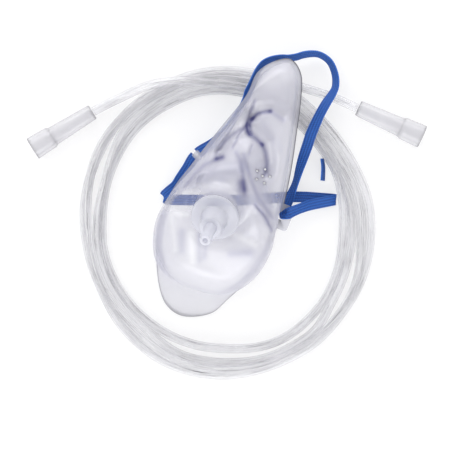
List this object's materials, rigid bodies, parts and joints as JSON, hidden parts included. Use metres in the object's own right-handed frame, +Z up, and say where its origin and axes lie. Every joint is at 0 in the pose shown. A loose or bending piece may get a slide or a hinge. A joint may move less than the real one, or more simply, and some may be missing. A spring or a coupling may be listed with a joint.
{
  "type": "oxygen face mask",
  "caption": "Clear soft oxygen face mask lying face down, with a domed body, a tapered inlet connector, an elastic head strap and its coil of supply tubing.",
  "frame": {"origin": "on the surface that the mask lies on, under the middle of the mask and its strap", "axes": "+Z up, away from the face side; +Y towards the nose end, 22 degrees off the mask's own length; +X to the right in the view from above"},
  "size_m": [0.22, 0.1828, 0.0772],
  "materials": {
    "clear_vinyl": "clear, glossy",
    "frosted_vinyl": "frosted",
    "blue_elastic": "ribbed weave",
    "white_plastic": "satin",
    "clear_tubing": "clear, glossy"
  },
  "bodies": {
    "root": {"mask_shell": "clear_vinyl", "inlet_connector": "frosted_vinyl", "head_strap": "blue_elastic", "strap_end": "blue_elastic", "strap_crimp": "white_plastic", "tube_coil": "clear_tubing", "tube_tail_left": "clear_tubing", "tube_tail_right": "clear_tubing", "end_connector_left": "frosted_vinyl", "end_connector_right": "frosted_vinyl"}
  },
  "joints": []
}
